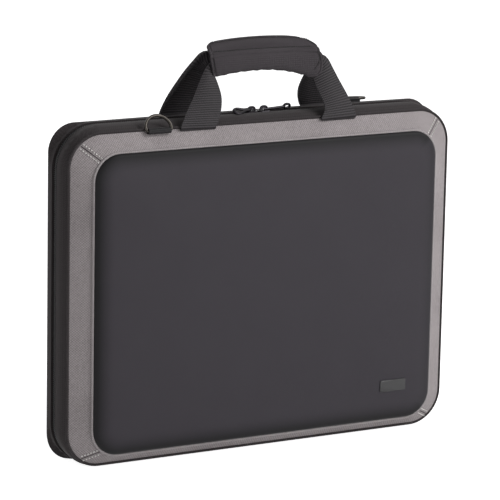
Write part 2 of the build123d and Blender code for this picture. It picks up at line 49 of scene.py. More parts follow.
# ---------------------------------------------------------------- studio
# A white sweep under soft light: one broad lamp high on the right, a weaker one on the left,
# and an even sky. The floor adds its own white for the eye only, so it keeps the case's shadow.


def linear(colour):
    """An sRGB hex value as the linear RGBA that a shader socket takes."""
    channels = [int(colour[i : i + 2], 16) / 255 for i in (1, 3, 5)]
    return [c / 12.92 if c <= 0.04045 else ((c + 0.055) / 1.055) ** 2.4 for c in channels] + [1]


def add_node(tree, kind, settings=None, **links):
    """Add one node: settings go to its properties or sockets, links join its named sockets."""
    node = tree.nodes.new(kind)
    for key, value in (settings or {}).items():
        if isinstance(key, str) and hasattr(node, key):
            setattr(node, key, value)
        else:
            node.inputs[key].default_value = value
    for socket, source in links.items():
        place = int(socket[2:]) if socket.startswith("at") else socket.replace("_", " ")
        tree.links.new(source, node.inputs[place])
    return node


def new_material(name, colour, **sockets):
    """A Principled material under its own name; returns the material, its tree and shader."""
    material = bpy.data.materials.new(name)
    material.use_nodes = True
    shader = material.node_tree.nodes["Principled BSDF"]
    shader.inputs["Base Color"].default_value = linear(colour)
    for socket, value in sockets.items():
        shader.inputs[socket.replace("_", " ")].default_value = value
    return material, material.node_tree, shader


def seen_directly(tree):
    """1 for what the camera sees straight, in a mirror or through glass; 0 for light itself."""
    path = add_node(tree, "ShaderNodeLightPath")
    mirror = add_node(
        tree, "ShaderNodeMath", {"operation": "MAXIMUM"},
        at0=path.outputs["Is Camera Ray"], at1=path.outputs["Is Glossy Ray"],
    )
    return add_node(
        tree, "ShaderNodeMath", {"operation": "MAXIMUM"},
        at0=mirror.outputs[0], at1=path.outputs["Is Transmission Ray"],
    ).outputs[0]


scene = bpy.context.scene
scene.view_settings.view_transform = "Standard"

world = bpy.data.worlds.new("studio_sky")
scene.world = world
world.use_nodes = True
sky_light = 0.24
sky = world.node_tree
background = sky.nodes["Background"]
background.inputs["Color"].default_value = linear("#ffffff")
level = add_node(
    sky, "ShaderNodeMapRange", {"To Min": sky_light, "To Max": 1.0}, Value=seen_directly(sky)
)
sky.links.new(level.outputs["Result"], background.inputs["Strength"])

floor_size = 14.0
bpy.ops.mesh.primitive_plane_add(size=floor_size, location=(0, 0, 0))
floor = bpy.context.object
floor.name = "studio_floor"
floor_white, floor_tree, floor_shader = new_material("white_sweep", "#f4f4f4", Roughness=0.9)
floor_own_white = 0.9
glow = add_node(
    floor_tree, "ShaderNodeMath", {"operation": "MULTIPLY", 1: floor_own_white},
    at0=seen_directly(floor_tree),
)
floor_shader.inputs["Emission Color"].default_value = linear("#ffffff")
floor_tree.links.new(glow.outputs[0], floor_shader.inputs["Emission Strength"])
floor.data.materials.append(floor_white)


def add_lamp(name, place, aim, size, watts):
    """A square soft box at `place` that faces `aim`."""
    lamp = bpy.data.lights.new(name, "AREA")
    lamp.size = size
    lamp.energy = watts
    lamp_object = bpy.data.objects.new(name, lamp)
    scene.collection.objects.link(lamp_object)
    lamp_object.location = place
    lamp_object.rotation_euler = (Vector(aim) - Vector(place)).to_track_quat("-Z", "Y").to_euler()


case_middle = (0, 0, 0.18)
add_lamp("key_softbox", (1.5, -1.3, 1.9), case_middle, 1.2, 40)
add_lamp("front_softbox", (1.3, -2.5, 0.6), case_middle, 1.4, 28)
add_lamp("side_softbox", (-2.3, -0.7, 0.8), case_middle, 1.2, 8)

# The camera stands far back on a long lens, so upright edges stay nearly parallel
camera_place = Vector((-1.44494, -2.54590, 0.81206))
camera_aim = Vector((-0.01387, -0.025, 0.20191))
camera_roll = math.radians(1.105)
lens_mm = 216
camera_data = bpy.data.cameras.new("camera")
camera_data.lens = lens_mm
camera_data.sensor_width = 36
camera_data.clip_end = 40
camera = bpy.data.objects.new("camera", camera_data)
scene.collection.objects.link(camera)
look = (camera_aim - camera_place).to_track_quat("-Z", "Y").to_matrix()
camera.matrix_world = Matrix.Translation(camera_place) @ (
    look @ Matrix.Rotation(camera_roll, 3, "Z")
).to_4x4()
scene.camera = camera

# ---------------------------------------------------------------- front panel and label
# The panel is foam board moulded to a shallow dish, with a smooth black cloth laminated on
# it. A small soft rubber label, left bare, is stuck on its lower right corner.


def alone(piece):
    """Make a piece the only one selected, and the active one."""
    bpy.ops.object.select_all(action="DESELECT")
    piece.select_set(True)
    bpy.context.view_layer.objects.active = piece


def copy_of(name, node, angle=35):
    """A piece with a CAD node's own form, its facets merged and its shading made smooth."""
    piece = bpy.data.objects.new(name, nodes[node].data.copy())
    scene.collection.objects.link(piece)
    alone(piece)
    bpy.ops.object.mode_set(mode="EDIT")
    bpy.ops.mesh.select_all(action="SELECT")
    bpy.ops.mesh.remove_doubles(threshold=0.005 * MM)
    bpy.ops.object.mode_set(mode="OBJECT")
    bpy.ops.object.shade_smooth_by_angle(angle=math.radians(angle))
    return piece


def fit(piece, material, body, slot, *stands_for):
    """Give a finished piece its material and its body, and hide the CAD nodes it stands for; `slot`
    is not used.
    """
    piece.data.materials.clear()
    piece.data.materials.append(material)
    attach(piece, body)
    if stands_for:
        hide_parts(*stands_for)
    return piece


def plain_weave(tree, pitch_mm, vector, seen_on):
    """Height of a plain weave, 0 to 1: rounded threads that pass over and under each other.

    `seen_on` names the faces that show it: "front" for upright faces, "all" for every side.
    """
    cells = add_node(
        tree, "ShaderNodeVectorMath", {"operation": "SCALE", "Scale": 1 / (pitch_mm * MM)},
        at0=vector,
    )
    axes = add_node(tree, "ShaderNodeSeparateXYZ", Vector=cells.outputs[0])
    hills = []
    for axis in "XYZ":
        angle = add_node(
            tree, "ShaderNodeMath", {"operation": "MULTIPLY", 1: math.pi}, at0=axes.outputs[axis]
        )
        hills.append(add_node(tree, "ShaderNodeMath", {"operation": "SINE"}, at0=angle.outputs[0]))
    total = None
    for first, second in ((0, 2),) if seen_on == "front" else ((0, 2), (1, 2), (0, 1)):
        crossing = add_node(
            tree, "ShaderNodeMath", {"operation": "MULTIPLY"},
            at0=hills[first].outputs[0], at1=hills[second].outputs[0],
        )
        total = crossing if total is None else add_node(
            tree, "ShaderNodeMath", {"operation": "ADD"},
            at0=total.outputs[0], at1=crossing.outputs[0],
        )
    reach = 1.0 if seen_on == "front" else 1.5
    return add_node(
        tree, "ShaderNodeMapRange", {"From Min": -reach, "From Max": reach}, Value=total.outputs[0]
    ).outputs["Result"]


def woven_cloth(
    name, shade, light, pitch_mm, relief, roughness, sheen=0.1, cloudiness=0.25, seen_on="all"
):
    """A woven cloth: painted shade between the threads and painted light on top of them, mixed with
    the yarn's random tone, and a faint cloudiness.
    """
    material, tree, shader = new_material(
        name, shade, Roughness=roughness, Sheen_Weight=sheen, Sheen_Roughness=0.5,
        Specular_IOR_Level=0.15,
    )
    place = add_node(tree, "ShaderNodeTexCoord").outputs["Object"]
    threads = plain_weave(tree, pitch_mm, place, seen_on)
    clouds = add_node(
        tree, "ShaderNodeTexNoise", {"Scale": 22.0, "Detail": 4.0, "Roughness": 0.6}, Vector=place
    )
    yarn = add_node(
        tree, "ShaderNodeTexNoise", {"Scale": 0.7 / (pitch_mm * MM), "Detail": 3.0}, Vector=place
    )
    mixed = add_node(
        tree, "ShaderNodeMix", {"data_type": "FLOAT", 0: 0.55},
        at2=threads, at3=yarn.outputs["Fac"],
    )
    tone = add_node(
        tree, "ShaderNodeMix", {"data_type": "FLOAT", 0: cloudiness},
        at2=mixed.outputs[0], at3=clouds.outputs["Fac"],
    )
    ramp = add_node(
        tree, "ShaderNodeMapRange", {"From Min": 0.3, "From Max": 0.7}, Value=tone.outputs[0]
    )
    # The weave's height sets the colour: painted shade in the hollows between threads, painted light
    # on their tops
    colour = add_node(
        tree, "ShaderNodeMix", {"data_type": "RGBA", 6: linear(shade), 7: linear(light)},
        at0=ramp.outputs["Result"],
    )
    tree.links.new(colour.outputs[2], shader.inputs["Base Color"])
    bump = add_node(
        tree, "ShaderNodeBump", {"Strength": relief, "Distance": pitch_mm * MM / 3},
        Height=mixed.outputs[0],
    )
    tree.links.new(bump.outputs["Normal"], shader.inputs["Normal"])
    return material


# Polyester laminated under heat: its threads are pressed flat, which leaves a dull gloss
laminate = woven_cloth("laminated_polyester", "#2e2b30", "#363338", 0.9, 0.12, 0.55, 0.0,
                       seen_on="front")


def panel_loop(inset, arc=9):
    """A rounded rectangle inside the panel's outline, as (x, z) in millimetres."""
    half, low, high = 192.1 - inset, 14.1 + inset, 311.4 - inset
    radius = max(27.0 - inset * 0.75, 4.0)
    found = []
    for side, top, first in ((1, 0, -90), (1, 1, 0), (-1, 1, 90), (-1, 0, 180)):
        centre_x = side * (half - radius)
        centre_z = high - radius if top else low + radius
        for k in range(arc + 1):
            turn = math.radians(first + 90 * k / arc)
            found.append((centre_x + radius * math.cos(turn), centre_z + radius * math.sin(turn)))
    return found


def pressed_panel(name):
    """The panel's face: a steep wall, a soft shoulder and the crown that the board carries."""
    board = copy_of("board", "front_panel")
    points, faces = [], []
    rings = ((0, 8.0), (0.25, 6.0), (0.7, 4.4), (1.4, 3.3), (2.4, 2.7), (4, 2.2), (6, 1.75),
             (8.5, 1.3), (11, 0.9), (14, 0.5), (17, 0.2), (20, 0.05), (26, 0), (36, 0), (50, 0),
             (68, 0), (88, 0), (110, 0), (130, 0))
    for inset, fall in rings:
        for x, z in panel_loop(inset):
            inward = panel_loop(max(inset, 6))[len(points) % 40]
            _, found, _, _ = board.ray_cast(
                Vector((inward[0], -100, inward[1])) * MM, Vector((0, 1, 0))
            )
            points.append(Vector((x, found.y / MM + fall, z)) * MM)
    for ring in range(len(rings) - 1):
        for k in range(40):
            a, b = ring * 40 + k, ring * 40 + (k + 1) % 40
            faces.append((a, b, b + 40, a + 40))
    faces.append(tuple(range((len(rings) - 1) * 40, len(rings) * 40)))
    mesh = bpy.data.meshes.new(name)
    mesh.from_pydata(points, [], faces)
    bpy.data.objects.remove(board)
    piece = bpy.data.objects.new(name, mesh)
    scene.collection.objects.link(piece)
    alone(piece)
    shell = piece.modifiers.new("cloth_thickness", "SOLIDIFY")
    shell.thickness = 0.6 * MM
    shell.offset = -1
    bpy.ops.object.modifier_apply(modifier=shell.name)
    bpy.ops.object.shade_smooth_by_angle(angle=math.radians(60))
    return piece


# Painted shade: the panel's colour darkens towards near black over its shoulder, where the moulded
# wall turns away from the lamps, and only about half as much on the right, which faces them
panel = pressed_panel("moulded_front_panel")
squeeze_and_painted_shade = panel.data.attributes.new("squeeze_and_painted_shade", "FLOAT", "POINT")
for vertex, mark in zip(panel.data.vertices, squeeze_and_painted_shade.data):
    beside = max(0.0, abs(vertex.co.x / MM) - 165.1)
    above = max(0.0, abs(vertex.co.z / MM - 162.75) - 121.65)
    mark.value = min(1.0, max(0.0, (math.hypot(beside, above) - 8.0) / 15.0)) ** 1.5
    # The right side faces the lamps, so it gets less of the painted shade
    if vertex.co.x > 0 and beside > above:
        mark.value *= 0.45
panel_cloth = woven_cloth("laminated_polyester_painted_edge_shade", "#2e2b30", "#363338", 0.9, 0.12, 0.55,
                          0.0, seen_on="front")
panel_tree = panel_cloth.node_tree
panel_shader = panel_tree.nodes["Principled BSDF"]
# Mix the painted shade into the cloth's colour: near black where its share is full
shoulder = add_node(
    panel_tree, "ShaderNodeMix", {"data_type": "RGBA", 7: linear("#0e0d0f")},
    at0=add_node(
        panel_tree, "ShaderNodeAttribute", {"attribute_name": "squeeze_and_painted_shade"}
    ).outputs["Fac"],
    at6=panel_shader.inputs["Base Color"].links[0].from_socket,
)
panel_tree.links.new(shoulder.outputs[2], panel_shader.inputs["Base Color"])
fit(panel, panel_cloth, "front_half", "panel_laminate", "front_panel")


def drawn_in(piece):
    """Draw the rear shell's ends and corners in towards its back, as the mould's draft does."""
    for vertex in piece.data.vertices:
        x, y, z = vertex.co / MM
        depth = min(1.0, max(0.0, (y - 14.0) / 18.0))
        beside = min(1.0, max(0.0, (abs(x) - 150.0) / 60.0))
        above = min(1.0, max(0.0, (abs(z - 168.0) - 105.0) / 60.0))
        x -= math.copysign(3.6 * depth * beside + 4.0 * depth * beside * above, x)
        z -= math.copysign(7.0 * depth * beside * above, z - 168.0)
        vertex.co = Vector((x, y, z)) * MM
    return piece


fit(drawn_in(copy_of("moulded_rear_shell", "rear_shell")), laminate, "rear_half",
    "panel_laminate", "rear_shell")

rubber, rubber_tree, rubber_shader = new_material("soft_rubber", "#0e0d0f", Roughness=0.5)
rubber_grain = add_node(
    rubber_tree, "ShaderNodeTexNoise", {"Scale": 1400.0, "Detail": 2.0},
    Vector=add_node(rubber_tree, "ShaderNodeTexCoord").outputs["Object"],
)
rubber_bump = add_node(
    rubber_tree, "ShaderNodeBump", {"Strength": 0.2, "Distance": 0.1 * MM},
    Height=rubber_grain.outputs["Fac"],
)
rubber_tree.links.new(rubber_bump.outputs["Normal"], rubber_shader.inputs["Normal"])
label = copy_of("bare_label", "label_patch")
fit(label, rubber, "front_half", "label_rubber", "label_patch")

# ---------------------------------------------------------------- border and its sewing
# Four strips of grey polyester are mitred at the corners and sewn on each side of every
# mitre with white thread. A rolled edge finishes the border where it meets the panel.

border_cloth = woven_cloth("grey_woven_polyester", "#736d6e", "#a59e9f", 1.25, 0.4, 0.85, 0.1,
                           seen_on="front")
strips = []
for node in ("border_top", "border_bottom", "border_left", "border_right"):
    strips.append(copy_of(node + "_strip", node, 20))
    fit(strips[-1], border_cloth, "front_half", "border_fabric", node)


def on_border(x, z):
    """The point of the border's face in front of (x, z) in millimetres, and its normal."""
    nearest = None
    for strip in strips:
        hit, point, normal, _ = strip.ray_cast(Vector((x, -100, z)) * MM, Vector((0, 1, 0)))
        if hit and (nearest is None or point.y < nearest[0].y):
            nearest = point, normal
    return nearest[0] / MM, nearest[1]


stitch_pitch = 2.7
stitch_length = 1.8
stitch_offset = 2.7


def thread_stitch(length, radius):
    """One stitch lying along X: a short thread whose ends dip into the cloth."""
    bpy.ops.mesh.primitive_cylinder_add(
        vertices=6, radius=radius * MM, depth=length * MM, rotation=(0, math.pi / 2, 0)
    )
    piece = bpy.context.object
    alone(piece)
    bpy.ops.object.transform_apply(location=True, rotation=True, scale=True)
    bpy.ops.object.mode_set(mode="EDIT")
    bpy.ops.mesh.select_all(action="SELECT")
    bpy.ops.mesh.bevel(offset=radius * 0.6 * MM, segments=1)
    bpy.ops.object.mode_set(mode="OBJECT")
    mesh = piece.data
    shape = [v.co.copy() for v in mesh.vertices], [tuple(p.vertices) for p in mesh.polygons]
    bpy.data.objects.remove(piece)
    return shape


def sewn(name, shape, places):
    """One mesh of many stitches: `places` are (point, along, up) in millimetres."""
    points, faces = [], []
    for point, along, up in places:
        x = along.normalized()
        y = up.cross(x).normalized()
        turn = Matrix((x, y, x.cross(y))).transposed()
        start = len(points)
        points += [turn @ v + Vector(point) * MM for v in shape[0]]
        faces += [tuple(start + i for i in face) for face in shape[1]]
    mesh = bpy.data.meshes.new(name)
    mesh.from_pydata(points, [], faces)
    piece = bpy.data.objects.new(name, mesh)
    scene.collection.objects.link(piece)
    alone(piece)
    bpy.ops.object.shade_smooth()
    return piece


def run_of(path, pitch, start=0.5):
    """Points at even pitch along a polyline, each with its direction."""
    found = []
    gone = start * pitch
    for a, b in zip(path, path[1:]):
        length = (b - a).length
        while gone < length:
            found.append((a + (b - a) * gone / length, (b - a).normalized()))
            gone += pitch
        gone -= length
    return found


mitres = (((201.6, 319.6), (183.6, 304.1)), ((198.9, 10.7), (181.4, 19.5)))
mitre_places, mitre_lines = [], []
for side in (-1, 1):
    for (outer_x, outer_z), (inner_x, inner_z) in mitres:
        outer = Vector((side * outer_x, 0, outer_z))
        inner = Vector((side * inner_x, 0, inner_z))
        way = (inner - outer).normalized()
        aside = Vector((way.z, 0, -way.x))
        outer, inner = outer + way * 0.8, inner - way * 1.4
        mitre_lines.append([outer.lerp(inner, k / 12) for k in range(13)])
        for shift in (-stitch_offset, stitch_offset):
            for point, _ in run_of([outer + aside * shift, inner + aside * shift], stitch_pitch):
                ahead, _ = on_border(point.x + way.x, point.z + way.z)
                place, up = on_border(point.x, point.z)
                mitre_places.append((place + up * 0.4, ahead - place, up))
thread, thread_tree, thread_shader = new_material("white_polyester_thread", "#f2f0ec", Roughness=0.6)
twist = add_node(
    thread_tree, "ShaderNodeTexNoise", {"Scale": 1500.0},
    Vector=add_node(thread_tree, "ShaderNodeTexCoord").outputs["Object"],
)
thread_colour = add_node(
    thread_tree, "ShaderNodeMix",
    {"data_type": "RGBA", 6: linear("#e2dfdb"), 7: linear("#fbfaf8")}, at0=twist.outputs["Fac"],
)
thread_tree.links.new(thread_colour.outputs[2], thread_shader.inputs["Base Color"])
fit(sewn("mitre_stitches", thread_stitch(stitch_length, 0.62), mitre_places), thread,
    "front_half", "border_fabric")

# Where two strips meet, their folded edges leave a fine groove; the thin dark tube laid along each
# mitre is painted shade for that groove
groove = woven_cloth("mitre_groove_painted_shade", "#2b292a", "#3a3738", 0.8, 0.3, 0.9, 0.0)
for number, line in enumerate(mitre_lines):
    fold = bpy.data.curves.new("fold", "CURVE")
    fold.dimensions = "3D"
    run = fold.splines.new("POLY")
    run.points.add(len(line) - 1)
    for knot, point in zip(run.points, line):
        place, up = on_border(point.x, point.z)
        knot.co = (*((place - up * 0.1) * MM), 1)
    fold.bevel_depth = 0.5 * MM
    fold.bevel_resolution = 1
    fold.use_fill_caps = True
    piece = bpy.data.objects.new("mitre_fold_%d" % number, fold)
    scene.collection.objects.link(piece)
    alone(piece)
    bpy.ops.object.convert(target="MESH")
    fit(piece, groove, "front_half", "border_fabric")


def tube_loop(name, half, low, high, radius, y, wire):
    """A tube bent round an upright rounded rectangle, its place in the middle of the wire."""
    bpy.ops.mesh.primitive_plane_add(size=1, rotation=(math.pi / 2, 0, 0))
    piece = bpy.context.object
    piece.name = name
    piece.scale = (2 * half * MM, (high - low) * MM, 1)
    piece.location = (0, y * MM, (high + low) / 2 * MM)
    alone(piece)
    bpy.ops.object.transform_apply(location=True, rotation=True, scale=True)
    bpy.ops.object.mode_set(mode="EDIT")
    bpy.ops.mesh.select_all(action="SELECT")
    bpy.ops.mesh.bevel(offset=radius * MM, segments=10, affect="VERTICES")
    bpy.ops.mesh.delete(type="ONLY_FACE")
    bpy.ops.object.mode_set(mode="OBJECT")
    bpy.ops.object.convert(target="CURVE")
    piece.data.bevel_depth = wire * MM
    piece.data.bevel_resolution = 2
    bpy.ops.object.convert(target="MESH")
    bpy.ops.object.shade_smooth()
    return piece


# Painted highlight: the edging's grey is a little lighter than the border's own, for the bright line
# along its roll
rolled_cloth = woven_cloth("rolled_grey_edging_painted_highlight", "#827c7d", "#aaa4a5", 1.1, 0.35, 0.85, 0.1)
edging = tube_loop("rolled_panel_edging", 192.6, 13.6, 311.9, 27.5, -37.2, 1.3)
fit(edging, rolled_cloth, "front_half", "border_fabric")

# ---------------------------------------------------------------- piping and soft sides
# A bead of piping closes the front seam. Behind it the sides are one layer of black woven
# polyester, cut by the zip into a part for each half; they bulge a little and lie flat
# on the floor.

side_cloth = woven_cloth("black_woven_polyester", "#2a2627", "#3b3738", 1.1, 0.4, 0.8, 0.06)
fit(copy_of("piping_bead", "front_piping", 60), side_cloth, "front_half", "piping_fabric",
    "front_piping")
fit(copy_of("front_soft_side", "front_gusset", 25), side_cloth, "front_half", "gusset_fabric",
    "front_gusset")
fit(copy_of("rear_soft_side", "rear_gusset", 25), side_cloth, "rear_half", "gusset_fabric",
    "rear_gusset")

# ---------------------------------------------------------------- cloth hinge
# Under the case the sides run on into each other as one strip of the same cloth. The real strip
# bends when the lid is opened; here it lies flat, divided into rows across its width.

hinge_length = 340.0
hinge_reach = 10.0
hinge_wall = 1.2


def strip_under(name, length, reach, wall, rows):
    """A thin strip lying on the floor across the zip's plane, divided along its width."""
    bpy.ops.mesh.primitive_cube_add(size=1, location=(0, 0, wall / 2 * MM))
    piece = bpy.context.object
    piece.name = piece.data.name = name
    piece.scale = (length * MM, 2 * reach * MM, wall * MM)
    alone(piece)
    bpy.ops.object.transform_apply(location=True, rotation=True, scale=True)
    bpy.ops.object.mode_set(mode="EDIT")
    bpy.ops.mesh.select_all(action="SELECT")
    for row in range(1, rows):
        bpy.ops.mesh.select_all(action="SELECT")
        bpy.ops.mesh.bisect(
            plane_co=(0, (2 * row / rows - 1) * reach * MM, 0), plane_no=(0, 1, 0)
        )
    bpy.ops.object.mode_set(mode="OBJECT")
    return piece


hinge_cloth = strip_under("cloth_hinge", hinge_length, hinge_reach, hinge_wall, 16)
hinge_cloth.data.materials.append(side_cloth)
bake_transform(hinge_cloth)
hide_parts("hinge_strip_front", "hinge_strip_rear")

# ---------------------------------------------------------------- zip
# A spiral zip: a nylon coil is woven along the edge of each tape, and two sliders meet at
# the top. Sliders and pulls are zinc castings with a gunmetal plate.

zip_half_width = 216.5
zip_low = -1.6
zip_high = 335.6
zip_radius = 43.0
coil_inset = 1.75
coil_centre = 0.9
coil_pitch = 2.0

tape_cloth = woven_cloth("woven_zip_tape", "#111011", "#1f1d1f", 0.7, 0.5, 0.8, 0.03)
fit(copy_of("front_tape", "front_zip_tape", 25), tape_cloth, "front_half", "zip_tape",
    "front_zip_tape")
fit(copy_of("rear_tape", "rear_zip_tape", 25), tape_cloth, "rear_half", "zip_tape",
    "rear_zip_tape")


def loop_points(half, low, high, radius, y, steps=10):
    """Corners and arcs of an upright rounded rectangle, from the middle of its base round."""
    points = [Vector((0, y, low))]
    for x, z, first in ((half, low, -90), (half, high, 0), (-half, high, 90), (-half, low, 180)):
        centre = Vector((x - math.copysign(radius, x), y, z + (radius if z == low else -radius)))
        for k in range(steps + 1):
            turn = math.radians(first + 90 * k / steps)
            points.append(centre + Vector((math.cos(turn), 0, math.sin(turn))) * radius)
    return points + [points[0]]


def coil_turn():
    """One turn of the coil across Y, long enough to lock between its neighbours."""
    bpy.ops.mesh.primitive_cube_add(size=1)
    piece = bpy.context.object
    piece.scale = (0.94 * MM, 2.4 * MM, 1.5 * MM)
    alone(piece)
    bpy.ops.object.transform_apply(location=True, rotation=True, scale=True)
    bpy.ops.object.mode_set(mode="EDIT")
    bpy.ops.mesh.select_all(action="SELECT")
    bpy.ops.mesh.bevel(offset=0.4 * MM, segments=1)
    bpy.ops.object.mode_set(mode="OBJECT")
    shape = [v.co.copy() for v in piece.data.vertices], [
        tuple(p.vertices) for p in piece.data.polygons
    ]
    bpy.data.objects.remove(piece)
    return shape


nylon, nylon_tree, nylon_shader = new_material("nylon_monofilament", "#1b1b1d", Roughness=0.35)
nylon_speck = add_node(
    nylon_tree, "ShaderNodeTexNoise", {"Scale": 600.0},
    Vector=add_node(nylon_tree, "ShaderNodeTexCoord").outputs["Object"],
)
nylon_rough = add_node(
    nylon_tree, "ShaderNodeMapRange", {"To Min": 0.25, "To Max": 0.5},
    Value=nylon_speck.outputs["Fac"],
)
nylon_tree.links.new(nylon_rough.outputs["Result"], nylon_shader.inputs["Roughness"])
turn_shape = coil_turn()
middle = Vector((0, 0, 168))
for half_name, y, start in (("front", -coil_centre, 0.25), ("rear", coil_centre, 0.75)):
    path = loop_points(
        zip_half_width - coil_inset, zip_low + coil_inset, zip_high - coil_inset,
        zip_radius - coil_inset, y,
    )
    turns = []
    for point, way in run_of(path, coil_pitch, start):
        if point.z > 7:
            turns.append((point, way, Vector((way.z, 0, -way.x))))
    coil = sewn(half_name + "_coil", turn_shape, turns)
    fit(coil, nylon, half_name + "_half", "zip_coil", half_name + "_zip_coil")

gunmetal, gunmetal_tree, gunmetal_shader = new_material(
    "gunmetal_plated_zinc", "#2a282b", Metallic=1.0, Roughness=0.3
)
casting = add_node(
    gunmetal_tree, "ShaderNodeTexNoise", {"Scale": 350.0, "Detail": 3.0},
    Vector=add_node(gunmetal_tree, "ShaderNodeTexCoord").outputs["Object"],
)
rub = add_node(
    gunmetal_tree, "ShaderNodeMapRange", {"To Min": 0.22, "To Max": 0.45},
    Value=casting.outputs["Fac"],
)
gunmetal_tree.links.new(rub.outputs["Result"], gunmetal_shader.inputs["Roughness"])


def cast_bar(name, points, wire, closed=False):
    """A round bar cast along smooth points in millimetres, its ends closed."""
    curve = bpy.data.curves.new(name, "CURVE")
    curve.dimensions = "3D"
    line = curve.splines.new("NURBS")
    line.points.add(len(points) - 1)
    for knot, point in zip(line.points, points):
        knot.co = (*(Vector(point) * MM), 1)
    line.order_u = 3
    line.use_cyclic_u = closed
    line.use_endpoint_u = not closed
    line.resolution_u = 4
    curve.bevel_depth = wire * MM
    curve.bevel_resolution = 3
    curve.use_fill_caps = True
    piece = bpy.data.objects.new(name, curve)
    scene.collection.objects.link(piece)
    alone(piece)
    bpy.ops.object.convert(target="MESH")
    bpy.ops.object.shade_smooth()
    return piece


def joined(name, *pieces):
    """Several castings made one piece."""
    bpy.ops.object.select_all(action="DESELECT")
    for piece in pieces:
        piece.select_set(True)
    bpy.context.view_layer.objects.active = pieces[0]
    bpy.ops.object.join()
    pieces[0].name = pieces[0].data.name = name
    return pieces[0]


def crown(name, middle_x, width):
    """The arch on a slider that holds its pull."""
    return cast_bar(name, [
        (middle_x - width, 0, 336.0), (middle_x - width, 0, 338.6),
        (middle_x - width * 0.55, 0, 340.4), (middle_x + width * 0.55, 0, 340.4),
        (middle_x + width, 0, 338.6), (middle_x + width, 0, 336.0),
    ], 1.0)


slider_middles = {"left": -1.2, "right": 12.8}
for side, middle_x in slider_middles.items():
    slider = joined(
        side + "_zip_slider", copy_of("plates", "slider_" + side), crown("arch", middle_x, 4.1)
    )
    fit(slider, gunmetal, side + "_slider", "slider_metal", "slider_" + side)

# The left pull is a teardrop ring that droops over the seam
left_way = Vector((-0.951, -0.309, 0))
left_aside = Vector((0.25, -0.77, -0.58))
left_root = Vector((-1.2, 0, 338.0))
teardrop = [
    left_root + left_way * run + left_aside * side
    for run, side in (
        (1.5, 0.6), (6.0, 0.8), (10.0, 1.0), (13.0, 1.8), (16.5, 3.2), (21.0, 3.5), (24.0, 2.0),
        (24.8, 0), (24.0, -2.0), (21.0, -3.5), (16.5, -3.2), (13.0, -1.8), (10.0, -1.0),
        (6.0, -0.8), (1.5, -0.6),
    )
]
fit(cast_bar("left_zip_pull", teardrop, 1.5, closed=True), gunmetal, "left_pull",
    "slider_metal", "pull_left")
# The right pull is a slim bar that ends in a ring and lies a little raised
right_bar = cast_bar(
    "bar", [(13.5, 0, 337.4), (20, 0, 337.5), (28, 0, 337.9), (36.0, 0, 338.5)], 1.35
)
right_ring = cast_bar("ring", [
    (39.0 + 3.5 * math.cos(k * math.pi / 5), -0.8 * math.sin(k * math.pi / 5),
     338.9 + 2.2 * math.sin(k * math.pi / 5)) for k in range(10)
], 1.35, closed=True)
fit(joined("right_zip_pull", right_bar, right_ring), gunmetal, "right_pull", "slider_metal",
    "pull_right")

# ---------------------------------------------------------------- inside
# Both halves are lined with brushed cloth glued to the boards. Foam corner pads and two
# brushed hold-down straps keep the laptop in place; a slip pocket is sewn on the lid.

lining_cloth = woven_cloth("brushed_lining_cloth", "#2a2a2d", "#3a3a3e", 1.6, 0.35, 0.95, 0.2)
foam, foam_tree, foam_shader = new_material("closed_cell_foam", "#1f1f21", Roughness=0.9)
cells = add_node(
    foam_tree, "ShaderNodeTexVoronoi", {"Scale": 900.0},
    Vector=add_node(foam_tree, "ShaderNodeTexCoord").outputs["Object"],
)
foam_bump = add_node(
    foam_tree, "ShaderNodeBump", {"Strength": 0.5, "Distance": 0.3 * MM},
    Height=cells.outputs["Distance"],
)
foam_tree.links.new(foam_bump.outputs["Normal"], foam_shader.inputs["Normal"])
for node, body, slot, material in (
    ("front_lining", "front_half", "lining_fabric", lining_cloth),
    ("rear_lining", "rear_half", "lining_fabric", lining_cloth),
    ("lid_pocket", "front_half", "lining_fabric", lining_cloth),
    ("laptop_corner_pads", "rear_half", "pad_foam", foam),
    ("laptop_straps", "rear_half", "strap_fabric", lining_cloth),
):
    piece = copy_of(node + "_cloth", node)
    if node == "rear_lining":
        drawn_in(piece)
    fit(piece, material, body, slot, node)
# ---------------------------------------------------------------- handles
# Each handle is one length of ribbed nylon webbing, 38 mm wide, sewn into the seam at both
# feet. It narrows as it folds lengthwise to run through the grip, so it curls on its way up.

rib_pitch = 2.4  # the real ribs are 1.4 mm apart, too fine to show at a metre


